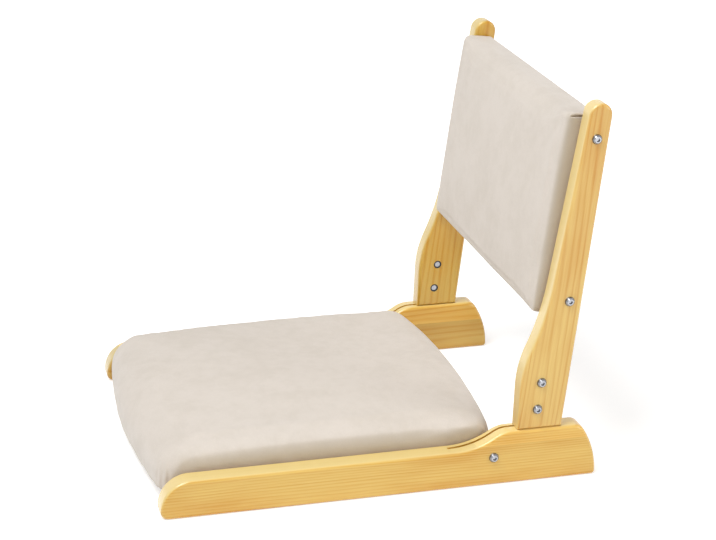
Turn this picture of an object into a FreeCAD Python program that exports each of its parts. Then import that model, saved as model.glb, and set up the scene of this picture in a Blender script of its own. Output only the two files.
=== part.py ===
import FreeCAD, Part
import math
import os

# Folding floor chair without legs: two pine floor rails, a back that folds forward
# onto the seat on steel plates hidden in the wood, and two upholstered pads.
# Millimetres, +Z up, the sitter faces -Y, the floor is Z = 0.
# In the sizes below Y = 0 is the middle of the rails; the whole chair is moved at the
# end so that the origin is the middle of the floor rectangle that it covers.

# floor rails
OVERALL_WIDTH = 405.0
RAIL_LENGTH = 460.0
RAIL_THICKNESS = 25.0
RAIL_HEIGHT = 40.0
TOE_RADIUS = 8.0
HEEL_RADIUS = 4.0
PLATFORM_HEIGHT = 58.0
PLATFORM_LENGTH = 94.0
SWELL_HOLLOW_RADIUS = 85.0
SWELL_CREST_RADIUS = 30.0
REAR_BOW_RADIUS = 90.0
REAR_CREST_RADIUS = 12.0
EDGE_BEVEL = 2.4
EDGE_SECOND_BEVEL = 0.8

# back posts
POST_THICKNESS = 22.0
POST_INSET = 1.0
FOOT_DEPTH = 48.0
FOOT_SETBACK = 38.5
FOOT_GAP = 0.25
FOOT_STRAIGHT = 44.0
FOOT_LEAN = 2.5
SHOULDER_LEAN = 25.0
SHOULDER_HOLLOW_RADIUS = 112.0
SHOULDER_CREST_RADIUS = 280.0
FRONT_LEAN = 10.4
REAR_LEAN = 7.5
CHAIR_HEIGHT = 401.0

# hidden hinge
PIVOT_HEIGHT = 31.0
PIVOT_AHEAD_OF_FOOT = 25.5
PLATE_THICKNESS = 3.0
PLATE_SIDE_CLEARANCE = 0.3
PLATE_HALF_WIDTH = 11.0
PLATE_INNER_FILLET = 6.0
PLATE_EDGE_CLEARANCE = 0.6
PLATE_FROM_RAIL_INNER_FACE = 10.0
KNEE_BELOW_FOOT = 14.0
LEG_AHEAD_OF_POST_BACK = 30.0
LOWER_BOLT_ABOVE_FOOT = 21.6
POST_BOLT_PITCH = 29.4
SLOT_CUTTER_RADIUS = 60.0
SLOT_FLOOR_MARGIN = 1.5
SLOT_CUTTER_TRAVEL = 13.0

# metric fasteners
BOLT_DIAMETER = 6.0
BOLT_CLEARANCE = 0.4
THREAD_CLEARANCE = 0.05
HEAD_DIAMETER = 10.5
HEAD_HEIGHT = 3.3
HEAD_SHOULDER_HEIGHT = 1.9
HEAD_SHOULDER_DIAMETER = 9.0
HEAD_TOP_DIAMETER = 6.4
SOCKET_ACROSS_FLATS = 4.0
SOCKET_DEPTH = 2.0
BOLT_END_RECESS = 1.0
INSERT_DIAMETER = 9.5
INSERT_LENGTH = 5.5
INSERT_RECESS = 0.6
SLEEVE_DIAMETER = 8.0
SLEEVE_RUNNING_CLEARANCE = 0.05
SLEEVE_PAST_PLATE = 5.0
FLANGE_DIAMETER = 15.0
FLANGE_THICKNESS = 1.8
FLANGE_RECESS = 2.4
FLANGE_CLEARANCE = 0.25
PAD_SCREW_BITE = 38.0
PAD_SCREW_HOLE_EXTRA = 3.0

# seat pad
SEAT_PAD_OVERHANG = 16.0
SEAT_PAD_LENGTH = 380.0
SEAT_PAD_SIDE_GAP = 1.0
SEAT_PAD_BOTTOM = 18.0
SEAT_PAD_THICKNESS = 52.0
SEAT_CROWN = 6.0
SEAT_NOSE_UPPER_RADIUS = 22.0
SEAT_NOSE_LOWER_RADIUS = 22.0
SEAT_SIDE_UPPER_RADIUS = 22.0
SEAT_SIDE_LOWER_RADIUS = 6.0
SEAT_BOW = 11.0
SEAT_CORNER_RADIUS = 24.0
SEAT_FOAM_THICKNESS = 25.0
SEAT_FOAM_SIDE_MARGIN = 9.0
SEAT_FOAM_END_MARGIN = 16.0
SEAT_BOARD_THICKNESS = 12.0
SEAT_BOARD_SIDE_MARGIN = 6.0
SEAT_BOARD_END_MARGIN = 28.0
SEAT_BOARD_CORNER_CUT = 30.0

# seat underside
COVER_THICKNESS = 1.2
DUST_COVER_THICKNESS = 0.6
COVER_TURN_IN = 26.0
DUST_COVER_SIDE_MARGIN = 18.0
DUST_COVER_GAP = 1.0
STRETCHER_THICKNESS = 14.0
STRETCHER_WIDTH = 40.0
FRONT_STRETCHER_FROM_PAD_FRONT = 76.0
REAR_STRETCHER_FROM_PAD_REAR = 74.0
TENON_LENGTH = 6.5
TENON_THICKNESS = 8.0
TENON_WIDTH = 30.0
WOOD_SCREW_DIAMETER = 4.0
WOOD_SCREW_HEAD_DIAMETER = 8.0
WOOD_SCREW_HEAD_HEIGHT = 2.6
WOOD_SCREW_HEAD_SINK = 0.6
WOOD_SCREW_BITE = 9.0
SEAT_SCREW_FROM_RAIL = 57.5

# back pad
BACK_PAD_SIDE_GAP = 1.2
BACK_BOARD_THICKNESS = 15.0
BACK_BOARD_MARGIN = 6.5
BOARD_LEAN = 7.7
LOWER_PAD_BOLT_HEIGHT = 195.5
PAD_BOLT_AHEAD_OF_POST_BACK = 14.0
UPPER_PAD_BOLT_BELOW_TOP = 36.0
PAD_ABOVE_UPPER_BOLT = 19.5
PAD_BELOW_LOWER_BOLT = 22.0
PAD_FRONT_AT_TOP = 27.5
PAD_FRONT_AT_BOTTOM = 32.5
BACK_CROWN = 5.0
BACK_SHOULDER_RADIUS = 10.0
BACK_REAR_RADIUS = 2.5
BACK_END_RADIUS = 12.0
BACK_CORNER_DRAW = 4.0
BACK_FOAM_THICKNESS = 14.0
BACK_FOAM_MARGIN = 10.0
REAR_PANEL_THICKNESS = 3.0
REAR_PANEL_MARGIN = 12.0

# places worked out from the sizes above
RAIL_OUTER_X = OVERALL_WIDTH / 2
RAIL_INNER_X = RAIL_OUTER_X - RAIL_THICKNESS
POST_OUTER_X = RAIL_OUTER_X - POST_INSET
POST_INNER_X = POST_OUTER_X - POST_THICKNESS
PLATE_X = RAIL_INNER_X + PLATE_FROM_RAIL_INNER_FACE
SLOT_WIDTH = PLATE_THICKNESS + 2 * PLATE_SIDE_CLEARANCE
RAIL_FRONT_Y = -RAIL_LENGTH / 2
RAIL_REAR_Y = RAIL_LENGTH / 2
PLATFORM_FRONT_Y = RAIL_REAR_Y - PLATFORM_LENGTH
FOOT_Z = PLATFORM_HEIGHT + FOOT_GAP
FOOT_REAR_Y = RAIL_REAR_Y - FOOT_SETBACK
FOOT_FRONT_Y = FOOT_REAR_Y - FOOT_DEPTH
PIVOT = (FOOT_FRONT_Y - PIVOT_AHEAD_OF_FOOT, PIVOT_HEIGHT)
SEAT_PAD_FRONT_Y = RAIL_FRONT_Y - SEAT_PAD_OVERHANG
SEAT_PAD_REAR_Y = SEAT_PAD_FRONT_Y + SEAT_PAD_LENGTH
SEAT_PAD_HALF = RAIL_INNER_X - SEAT_PAD_SIDE_GAP
SEAT_BOARD_BOTTOM = SEAT_PAD_BOTTOM + COVER_THICKNESS
PAD_BOLT_RISE = CHAIR_HEIGHT - UPPER_PAD_BOLT_BELOW_TOP - LOWER_PAD_BOLT_HEIGHT
PAD_BOLT_PITCH = PAD_BOLT_RISE / math.cos(math.radians(BOARD_LEAN))
BACK_PAD_HALF = POST_INNER_X - BACK_PAD_SIDE_GAP
BACK_BOARD_HALF = BACK_PAD_HALF - BACK_BOARD_MARGIN
STRETCHER_TOP = SEAT_PAD_BOTTOM
STRETCHER_YS = (SEAT_PAD_FRONT_Y + FRONT_STRETCHER_FROM_PAD_FRONT,
                SEAT_PAD_REAR_Y - REAR_STRETCHER_FROM_PAD_REAR)
SIDES = (1, -1)


# drawing in the side view: points are (y, z)
def towards(point, lean, distance):
    angle = math.radians(lean)
    return (point[0] + distance * math.sin(angle), point[1] + distance * math.cos(angle))


def shifted(point, direction, distance):
    return (point[0] + direction[0] * distance, point[1] + direction[1] * distance)


def unit(a, b):
    length = math.hypot(b[0] - a[0], b[1] - a[1])
    return ((b[0] - a[0]) / length, (b[1] - a[1]) / length)


def side_vector(point, x=0.0):
    return FreeCAD.Vector(x, point[0], point[1])


def line(a, b):
    return Part.LineSegment(side_vector(a), side_vector(b)).toShape()


def arc(a, middle, b):
    return Part.Arc(side_vector(a), side_vector(middle), side_vector(b)).toShape()


def on_circle(centre, radius, degrees):
    angle = math.radians(degrees)
    return (centre[0] + radius * math.cos(angle), centre[1] + radius * math.sin(angle))


def circle_arc(centre, radius, start, end):
    return arc(on_circle(centre, radius, start), on_circle(centre, radius, (start + end) / 2),
               on_circle(centre, radius, end))


def slab(edges, low_x, high_x):
    face = Part.Face(Part.Wire(Part.__sortEdges__(edges)))
    return face.extrude(FreeCAD.Vector(high_x - low_x, 0, 0)).translated(FreeCAD.Vector(low_x, 0, 0))


def bar_with_round_ends(a, b, radius, low_x, high_x):
    along = unit(a, b)
    left = (-along[1], along[0])
    a_left = shifted(a, left, radius)
    b_left = shifted(b, left, radius)
    a_right = shifted(a, left, -radius)
    b_right = shifted(b, left, -radius)
    edges = [line(a_left, b_left), arc(b_left, shifted(b, along, radius), b_right),
             line(b_right, a_right), arc(a_right, shifted(a, along, -radius), a_left)]
    return slab(edges, low_x, high_x)


def pin(point, diameter, low_x, high_x):
    return Part.makeCylinder(diameter / 2, high_x - low_x, side_vector(point, low_x),
                             FreeCAD.Vector(1, 0, 0))


def box(low, high):
    return Part.makeBox(high[0] - low[0], high[1] - low[1], high[2] - low[2], FreeCAD.Vector(*low))


def edges_at(solid, places):
    return [edge for edge in solid.Edges
            if any(all(abs(v.X - x) < 0.01 for v in edge.Vertexes) for x in places)]


def eased(solid, low_x, high_x):
    # rounds the edges of both broad faces in three narrow steps
    bevelled = solid.makeChamfer(EDGE_BEVEL, edges_at(solid, (low_x, high_x)))
    steps = (low_x, high_x, low_x + EDGE_BEVEL, high_x - EDGE_BEVEL)
    return bevelled.makeChamfer(EDGE_SECOND_BEVEL, edges_at(bevelled, steps))


def mirrored(solid):
    return solid.mirror(FreeCAD.Vector(0, 0, 0), FreeCAD.Vector(1, 0, 0))


def on_side(solid, side):
    return solid if side > 0 else mirrored(solid)


# hinge geometry
def post_back_y(z):
    return FOOT_REAR_Y + (z - FOOT_Z) * math.tan(math.radians(REAR_LEAN))


def leg_point(z):
    return (post_back_y(z) - LEG_AHEAD_OF_POST_BACK, z)


def post_bolt_points():
    lower = leg_point(FOOT_Z + LOWER_BOLT_ABOVE_FOOT)
    return [lower, towards(lower, REAR_LEAN, POST_BOLT_PITCH)]


def knee_point():
    return leg_point(FOOT_Z - KNEE_BELOW_FOOT)


def plate_outline(radius, fillet):
    knee = knee_point()
    top = post_bolt_points()[1]
    arm = unit(PIVOT, knee)
    leg = unit(knee, top)
    arm_left = (-arm[1], arm[0])
    leg_left = (-leg[1], leg[0])
    both = (arm_left[0] + leg_left[0], arm_left[1] + leg_left[1])
    spread = 1 + arm_left[0] * leg_left[0] + arm_left[1] * leg_left[1]
    hollow = shifted(knee, both, (radius + fillet) / spread)
    middle = shifted(hollow, unit((0, 0), both), -fillet)
    outer = shifted(knee, unit((0, 0), both), -radius)
    return [
        line(shifted(PIVOT, arm_left, -radius), shifted(knee, arm_left, -radius)),
        arc(shifted(knee, arm_left, -radius), outer, shifted(knee, leg_left, -radius)),
        line(shifted(knee, leg_left, -radius), shifted(top, leg_left, -radius)),
        arc(shifted(top, leg_left, -radius), shifted(top, leg, radius), shifted(top, leg_left, radius)),
        line(shifted(top, leg_left, radius), shifted(hollow, leg_left, -fillet)),
        arc(shifted(hollow, leg_left, -fillet), middle, shifted(hollow, arm_left, -fillet)),
        line(shifted(hollow, arm_left, -fillet), shifted(PIVOT, arm_left, radius)),
        arc(shifted(PIVOT, arm_left, radius), shifted(PIVOT, arm, -radius),
            shifted(PIVOT, arm_left, -radius)),
    ]


def hinge_plate():
    low_x = PLATE_X - PLATE_THICKNESS / 2
    high_x = PLATE_X + PLATE_THICKNESS / 2
    plate = slab(plate_outline(PLATE_HALF_WIDTH, PLATE_INNER_FILLET), low_x, high_x)
    plate = plate.cut(pin(PIVOT, SLEEVE_DIAMETER + 2 * SLEEVE_RUNNING_CLEARANCE, low_x, high_x))
    for point in post_bolt_points():
        plate = plate.cut(pin(point, BOLT_DIAMETER + BOLT_CLEARANCE, low_x, high_x))
    return plate


def rail_slot():
    # a disc cutter plunges over the pivot and runs back under the post's foot
    low_x = PLATE_X - SLOT_WIDTH / 2
    high_x = PLATE_X + SLOT_WIDTH / 2
    floor_z = PIVOT_HEIGHT - PLATE_HALF_WIDTH - SLOT_FLOOR_MARGIN
    start = (PIVOT[0], floor_z + SLOT_CUTTER_RADIUS)
    end = (PIVOT[0] + SLOT_CUTTER_TRAVEL, start[1])
    diameter = 2 * SLOT_CUTTER_RADIUS
    path = box((low_x, start[0], floor_z), (high_x, end[0], start[1]))
    return path.fuse([pin(start, diameter, low_x, high_x), pin(end, diameter, low_x, high_x)])


# wooden side pieces
def rail_outline():
    nose = RAIL_HEIGHT - TOE_RADIUS
    nose_centre = (RAIL_FRONT_Y + nose, TOE_RADIUS)
    toe_centre = (RAIL_FRONT_Y + TOE_RADIUS, TOE_RADIUS)
    heel_centre = (RAIL_REAR_Y - HEEL_RADIUS, HEEL_RADIUS)
    bow_centre = (RAIL_REAR_Y - REAR_BOW_RADIUS, HEEL_RADIUS)
    crest_z = PLATFORM_HEIGHT - REAR_CREST_RADIUS
    reach = math.sqrt((REAR_BOW_RADIUS - REAR_CREST_RADIUS) ** 2 - (crest_z - HEEL_RADIUS) ** 2)
    crest_centre = (bow_centre[0] + reach, crest_z)
    crest_angle = math.degrees(math.atan2(crest_z - HEEL_RADIUS, reach))
    rise = PLATFORM_HEIGHT - RAIL_HEIGHT
    both = SWELL_HOLLOW_RADIUS + SWELL_CREST_RADIUS
    swell_angle = math.degrees(math.acos(1 - rise / both))
    swell_start_y = PLATFORM_FRONT_Y - both * math.sin(math.radians(swell_angle))
    hollow_centre = (swell_start_y, RAIL_HEIGHT + SWELL_HOLLOW_RADIUS)
    swell_centre = (PLATFORM_FRONT_Y, PLATFORM_HEIGHT - SWELL_CREST_RADIUS)
    return [
        line((toe_centre[0], 0), (heel_centre[0], 0)),
        circle_arc(heel_centre, HEEL_RADIUS, -90, 0),
        circle_arc(bow_centre, REAR_BOW_RADIUS, 0, crest_angle),
        circle_arc(crest_centre, REAR_CREST_RADIUS, crest_angle, 90),
        line((crest_centre[0], PLATFORM_HEIGHT), swell_centre[:1] + (PLATFORM_HEIGHT,)),
        circle_arc(swell_centre, SWELL_CREST_RADIUS, 90, 90 + swell_angle),
        circle_arc(hollow_centre, SWELL_HOLLOW_RADIUS, swell_angle - 90, -90),
        line((swell_start_y, RAIL_HEIGHT), (nose_centre[0], RAIL_HEIGHT)),
        circle_arc(nose_centre, nose, 90, 180),
        circle_arc(toe_centre, TOE_RADIUS, 180, 270),
    ]


def rail():
    blank = eased(slab(rail_outline(), RAIL_INNER_X, RAIL_OUTER_X), RAIL_INNER_X, RAIL_OUTER_X)
    sleeve_end = PLATE_X + SLOT_WIDTH / 2 + SLEEVE_PAST_PLATE
    cuts = [
        rail_slot(),
        pin(PIVOT, BOLT_DIAMETER + BOLT_CLEARANCE, RAIL_INNER_X, RAIL_OUTER_X),
        pin(PIVOT, SLEEVE_DIAMETER + 2 * THREAD_CLEARANCE, RAIL_INNER_X, sleeve_end),
        pin(PIVOT, FLANGE_DIAMETER + 2 * FLANGE_CLEARANCE, RAIL_INNER_X, RAIL_INNER_X + FLANGE_RECESS),
    ]
    cuts += [tenon(y) for y in STRETCHER_YS]
    return blank.cut(cuts)


def post_outline():
    foot_front = (FOOT_FRONT_Y, FOOT_Z)
    low = math.radians(FOOT_LEAN)
    mid = math.radians(SHOULDER_LEAN)
    high = math.radians(FRONT_LEAN)
    hollow_start = towards(foot_front, FOOT_LEAN, FOOT_STRAIGHT)
    hollow_centre = (hollow_start[0] + SHOULDER_HOLLOW_RADIUS * math.cos(low),
                     hollow_start[1] - SHOULDER_HOLLOW_RADIUS * math.sin(low))
    hollow_end = on_circle(hollow_centre, SHOULDER_HOLLOW_RADIUS, 180 - SHOULDER_LEAN)
    crest_centre = (hollow_end[0] - SHOULDER_CREST_RADIUS * math.cos(mid),
                    hollow_end[1] + SHOULDER_CREST_RADIUS * math.sin(mid))
    crest_end = on_circle(crest_centre, SHOULDER_CREST_RADIUS, -FRONT_LEAN)
    # the round top touches the front edge, the back edge and the chair's height
    front_tan = math.tan(high)
    rear_tan = math.tan(math.radians(REAR_LEAN))
    rear_cos = math.cos(math.radians(REAR_LEAN))
    width_at_top = post_back_y(CHAIR_HEIGHT) - crest_end[0] - (CHAIR_HEIGHT - crest_end[1]) * front_tan
    top_radius = width_at_top / (1 / math.cos(high) + 1 / rear_cos + rear_tan - front_tan)
    top_z = CHAIR_HEIGHT - top_radius
    top_centre = (post_back_y(top_z) - top_radius / rear_cos, top_z)
    front_touch = on_circle(top_centre, top_radius, 180 - FRONT_LEAN)
    rear_touch = on_circle(top_centre, top_radius, -REAR_LEAN)
    crown = on_circle(top_centre, top_radius, 90 - (FRONT_LEAN + REAR_LEAN) / 2)
    foot_rear = (FOOT_REAR_Y, FOOT_Z)
    return [
        line(foot_front, hollow_start),
        circle_arc(hollow_centre, SHOULDER_HOLLOW_RADIUS, 180 - FOOT_LEAN, 180 - SHOULDER_LEAN),
        circle_arc(crest_centre, SHOULDER_CREST_RADIUS, -SHOULDER_LEAN, -FRONT_LEAN),
        line(crest_end, front_touch),
        arc(front_touch, crown, rear_touch),
        line(rear_touch, foot_rear),
        line(foot_rear, foot_front),
    ]


def post():
    blank = eased(slab(post_outline(), POST_INNER_X, POST_OUTER_X), POST_INNER_X, POST_OUTER_X)
    below = towards(knee_point(), REAR_LEAN, 0)
    cuts = [bar_with_round_ends(below, post_bolt_points()[1], PLATE_HALF_WIDTH + PLATE_EDGE_CLEARANCE,
                                PLATE_X - SLOT_WIDTH / 2, PLATE_X + SLOT_WIDTH / 2)]
    for point in post_bolt_points():
        cuts.append(pin(point, BOLT_DIAMETER + BOLT_CLEARANCE, POST_INNER_X, POST_OUTER_X))
        cuts.append(pin(point, INSERT_DIAMETER, POST_INNER_X,
                        POST_INNER_X + INSERT_RECESS + INSERT_LENGTH))
    for point in pad_screw_points():
        cuts.append(pin(point, BOLT_DIAMETER + BOLT_CLEARANCE, POST_INNER_X, POST_OUTER_X))
    return blank.cut(cuts)


# fasteners, drawn along +X with the head on the outside
def button_bolt(point, face_x, end_x):
    outline = [(0, 0), (0, HEAD_DIAMETER / 2), (HEAD_SHOULDER_HEIGHT, HEAD_SHOULDER_DIAMETER / 2),
               (HEAD_HEIGHT, HEAD_TOP_DIAMETER / 2), (HEAD_HEIGHT, 0), (0, 0)]
    profile = Part.makePolygon([FreeCAD.Vector(x, r, 0) for x, r in outline])
    head = Part.Face(profile).revolve(FreeCAD.Vector(0, 0, 0), FreeCAD.Vector(1, 0, 0), 360)
    head = head.cut(hexagon(SOCKET_ACROSS_FLATS, HEAD_HEIGHT - SOCKET_DEPTH, HEAD_HEIGHT))
    head = head.translated(side_vector(point, face_x))
    return head.fuse(pin(point, BOLT_DIAMETER, end_x, face_x)).removeSplitter()


def hexagon(across_flats, low_x, high_x):
    radius = across_flats / math.sqrt(3)
    corners = [on_circle((0, 0), radius, 60 * i) for i in range(6)]
    return slab([line(corners[i], corners[(i + 1) % 6]) for i in range(6)], low_x, high_x)


def threaded_ring(point, diameter, low_x, high_x):
    bore = BOLT_DIAMETER + 2 * THREAD_CLEARANCE
    return pin(point, diameter, low_x, high_x).cut(pin(point, bore, low_x, high_x))


def pivot_bolt():
    return button_bolt(PIVOT, RAIL_OUTER_X, RAIL_INNER_X + BOLT_END_RECESS)


def pivot_sleeve_nut():
    sleeve_end = PLATE_X + SLOT_WIDTH / 2 + SLEEVE_PAST_PLATE
    flange_top = RAIL_INNER_X + FLANGE_RECESS
    nut = pin(PIVOT, SLEEVE_DIAMETER, flange_top, sleeve_end)
    nut = nut.fuse(pin(PIVOT, FLANGE_DIAMETER, flange_top - FLANGE_THICKNESS, flange_top))
    bore = BOLT_DIAMETER + 2 * THREAD_CLEARANCE
    return nut.cut(pin(PIVOT, bore, RAIL_INNER_X, sleeve_end)).removeSplitter()


def post_bolts():
    end_x = POST_INNER_X + BOLT_END_RECESS
    return [button_bolt(point, POST_OUTER_X, end_x) for point in post_bolt_points()]


def post_inserts():
    low_x = POST_INNER_X + INSERT_RECESS
    return [threaded_ring(point, INSERT_DIAMETER, low_x, low_x + INSERT_LENGTH)
            for point in post_bolt_points()]


def pad_screw_points():
    z = LOWER_PAD_BOLT_HEIGHT
    lower = (post_back_y(z) - PAD_BOLT_AHEAD_OF_POST_BACK, z)
    return [lower, towards(lower, BOARD_LEAN, PAD_BOLT_PITCH)]


def pad_screws():
    end_x = BACK_BOARD_HALF - PAD_SCREW_BITE
    return [button_bolt(point, POST_OUTER_X, end_x) for point in pad_screw_points()]


def pad_screw_holes():
    low_x = BACK_BOARD_HALF - PAD_SCREW_BITE - PAD_SCREW_HOLE_EXTRA
    holes = [pin(point, BOLT_DIAMETER + 2 * THREAD_CLEARANCE, low_x, POST_INNER_X)
             for point in pad_screw_points()]
    return holes + [mirrored(hole) for hole in holes]


# cushion forms: a section is (across, up), with a flat base and a crowned top
def cushion_section(half, base, top, crown, shoulder, lower, place):
    crown_radius = (half ** 2 + crown ** 2) / (2 * crown)
    crown_centre = top - crown_radius
    across = half - shoulder
    up = crown_centre + math.sqrt((crown_radius - shoulder) ** 2 - across ** 2)
    meet_angle = math.atan2(up - crown_centre, across)
    meet = (crown_radius * math.cos(meet_angle), crown_centre + crown_radius * math.sin(meet_angle))
    middle_angle = meet_angle / 2
    middle = (across + shoulder * math.cos(middle_angle), up + shoulder * math.sin(middle_angle))
    low_angle = math.radians(-45)
    low_middle = (half - lower + lower * math.cos(low_angle),
                  base + lower + lower * math.sin(low_angle))
    right = [((half - lower, base), low_middle, (half, base + lower)),
             ((half, base + lower), None, (half, up)),
             ((half, up), middle, meet)]
    edges = []
    for start, mid, end in right:
        edges.append(placed_edge(start, mid, end, place))
    edges.append(placed_edge(meet, (0, top), (-meet[0], meet[1]), place))
    for start, mid, end in reversed(right):
        flipped = [None if p is None else (-p[0], p[1]) for p in (end, mid, start)]
        edges.append(placed_edge(flipped[0], flipped[1], flipped[2], place))
    edges.append(placed_edge((lower - half, base), None, (half - lower, base), place))
    return Part.Wire(edges)


def placed_edge(start, middle, end, place):
    if middle is None:
        return Part.LineSegment(place(start), place(end)).toShape()
    return Part.Arc(place(start), place(middle), place(end)).toShape()


def drawn_in(distance, radius):
    # how far a quarter round of this radius has drawn in, at a distance from its end
    left = max(0.0, 1 - distance / radius)
    return radius * (1 - math.sqrt(1 - left ** 2))


def plan_setback(x, half, bow, corner):
    # how far a bowed end with round corners lies behind its middle, at the place x
    bow_radius = (half ** 2 + bow ** 2) / (2 * bow)
    across = half - corner
    reach = math.sqrt((bow_radius - corner) ** 2 - across ** 2)
    touch_x = across * bow_radius / (bow_radius - corner)
    if abs(x) <= touch_x:
        return bow_radius - math.sqrt(bow_radius ** 2 - x ** 2)
    return bow_radius - reach - math.sqrt(max(0.0, corner ** 2 - (abs(x) - across) ** 2))


def rounding_steps(radius, count):
    # distances from an end that split a quarter round into equal turns
    return [radius * (1 - math.cos(math.radians(90 * i / count))) for i in range(count + 1)]


def both_ways(half, steps):
    right = [half - step for step in steps]
    return [-x for x in right] + [0.0] + right[::-1]


def seat_form():
    # sections follow the side view, from one side of the pad to the other
    half = SEAT_PAD_HALF
    middle_y = SEAT_PAD_FRONT_Y + SEAT_PAD_LENGTH / 2
    steps = rounding_steps(SEAT_SIDE_UPPER_RADIUS, 6)
    steps += [half * share for share in (0.22, 0.38, 0.58, 0.79)]
    sections = []
    for x in both_ways(half, steps):
        distance = half - abs(x)
        low = SEAT_PAD_BOTTOM + drawn_in(distance, SEAT_SIDE_LOWER_RADIUS)
        arch = SEAT_CROWN * (x / half) ** 2
        high = SEAT_PAD_BOTTOM + SEAT_PAD_THICKNESS - arch - drawn_in(distance, SEAT_SIDE_UPPER_RADIUS)
        fit = (high - low) / SEAT_PAD_THICKNESS
        reach = SEAT_PAD_LENGTH / 2 - plan_setback(x, half, SEAT_BOW, SEAT_CORNER_RADIUS)
        sections.append(cushion_section(
            reach, low, high, SEAT_CROWN * fit, SEAT_NOSE_UPPER_RADIUS * fit,
            SEAT_NOSE_LOWER_RADIUS * fit,
            lambda p, x=x: FreeCAD.Vector(x, middle_y + p[0], p[1])))
    return Part.makeLoft(sections, True, True)


def board_point(along, behind):
    # a point given from the lower pad bolt: along the board, and behind its middle
    start = pad_screw_points()[0]
    lean = math.radians(BOARD_LEAN)
    return (start[0] + along * math.sin(lean) + behind * math.cos(lean),
            start[1] + along * math.cos(lean) - behind * math.sin(lean))


def back_form():
    # sections run across the pad, from its lower end to its upper end
    low = -PAD_BELOW_LOWER_BOLT
    high = PAD_BOLT_PITCH + PAD_ABOVE_UPPER_BOLT
    half_length = (high - low) / 2
    rear = BACK_BOARD_THICKNESS / 2 + COVER_THICKNESS
    steps = rounding_steps(BACK_END_RADIUS, 4) + [half_length * share for share in (0.25, 0.5, 0.75)]
    sections = []
    for place in both_ways(half_length, steps):
        along = (low + high) / 2 + place
        share = (along - low) / (high - low)
        front = PAD_FRONT_AT_BOTTOM + (PAD_FRONT_AT_TOP - PAD_FRONT_AT_BOTTOM) * share
        arch = BACK_CROWN * (1 - (2 * share - 1) ** 2)
        pulled = drawn_in(half_length - abs(place), BACK_END_RADIUS)
        sections.append(cushion_section(
            BACK_PAD_HALF - BACK_CORNER_DRAW * pulled / BACK_END_RADIUS, -rear, front + arch - pulled,
            BACK_CROWN, BACK_SHOULDER_RADIUS, BACK_REAR_RADIUS,
            lambda p, along=along: side_vector(board_point(along, -p[1]), p[0])))
    return Part.makeLoft(sections, True, True)


def tilted_box(low, high, half):
    # low and high are (along the board, behind its middle)
    corners = [board_point(low[0], low[1]), board_point(high[0], low[1]),
               board_point(high[0], high[1]), board_point(low[0], high[1])]
    return slab([line(corners[i], corners[(i + 1) % 4]) for i in range(4)], -half, half)


# seat
def seat_plate(side_margin, end_margin, low_z, high_z):
    # a flat piece under the seat pad's outline, straight-sided with its corners cut off
    across = SEAT_PAD_HALF - side_margin
    front = SEAT_PAD_FRONT_Y + end_margin
    rear = SEAT_PAD_REAR_Y - end_margin
    cut = SEAT_BOARD_CORNER_CUT
    right = [(across - cut, front), (across, front + cut), (across, rear - cut), (across - cut, rear)]
    corners = right + [(-x, y) for x, y in reversed(right)]
    outline = Part.makePolygon([FreeCAD.Vector(x, y, low_z) for x, y in corners + corners[:1]])
    return Part.Face(outline).extrude(FreeCAD.Vector(0, 0, high_z - low_z))


def seat_board_blank():
    return seat_plate(SEAT_BOARD_SIDE_MARGIN, SEAT_BOARD_END_MARGIN, SEAT_BOARD_BOTTOM,
                      SEAT_BOARD_BOTTOM + SEAT_BOARD_THICKNESS)


def seat_foam():
    low_z = SEAT_BOARD_BOTTOM + SEAT_BOARD_THICKNESS
    return seat_plate(SEAT_FOAM_SIDE_MARGIN, SEAT_FOAM_END_MARGIN, low_z, low_z + SEAT_FOAM_THICKNESS)


def seat_screws():
    # round heads sunk into the underside of the stretchers
    head_z = STRETCHER_TOP - STRETCHER_THICKNESS + WOOD_SCREW_HEAD_SINK
    neck_z = head_z + WOOD_SCREW_HEAD_HEIGHT
    tip_z = SEAT_BOARD_BOTTOM + WOOD_SCREW_BITE
    screws = []
    for y in STRETCHER_YS:
        for side in SIDES:
            spot = FreeCAD.Vector(side * (RAIL_INNER_X - SEAT_SCREW_FROM_RAIL), y, head_z)
            head = Part.makeCylinder(WOOD_SCREW_HEAD_DIAMETER / 2, neck_z - head_z, spot)
            shank = Part.makeCylinder(WOOD_SCREW_DIAMETER / 2, tip_z - head_z, spot)
            screws.append(head.fuse(shank).removeSplitter())
    return screws


def screw_head_wells():
    floor_z = STRETCHER_TOP - STRETCHER_THICKNESS
    return [Part.makeCylinder(WOOD_SCREW_HEAD_DIAMETER / 2, WOOD_SCREW_HEAD_SINK,
                              FreeCAD.Vector(side * (RAIL_INNER_X - SEAT_SCREW_FROM_RAIL), y, floor_z))
            for y in STRETCHER_YS for side in SIDES]


def seat_board():
    return seat_board_blank().cut(seat_screws())


def seat_cover():
    # cover with its wadding: it fills the room between the outer form and the foam
    turned = SEAT_BOARD_SIDE_MARGIN + COVER_TURN_IN
    ends = SEAT_BOARD_END_MARGIN + COVER_TURN_IN
    window = seat_plate(turned, ends, SEAT_PAD_BOTTOM - 1, SEAT_BOARD_BOTTOM)
    return seat_form().cut([seat_board_blank(), seat_foam(), window])


def dust_cover():
    # a thin sheet under the board, between the two stretchers
    half = SEAT_PAD_HALF - DUST_COVER_SIDE_MARGIN
    inside = STRETCHER_WIDTH / 2 + DUST_COVER_GAP
    return box((-half, STRETCHER_YS[0] + inside, SEAT_PAD_BOTTOM - DUST_COVER_THICKNESS),
               (half, STRETCHER_YS[1] - inside, SEAT_PAD_BOTTOM))


def tenon(y):
    middle_z = STRETCHER_TOP - STRETCHER_THICKNESS / 2
    return box((RAIL_INNER_X, y - TENON_WIDTH / 2, middle_z - TENON_THICKNESS / 2),
               (RAIL_INNER_X + TENON_LENGTH, y + TENON_WIDTH / 2, middle_z + TENON_THICKNESS / 2))


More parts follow.
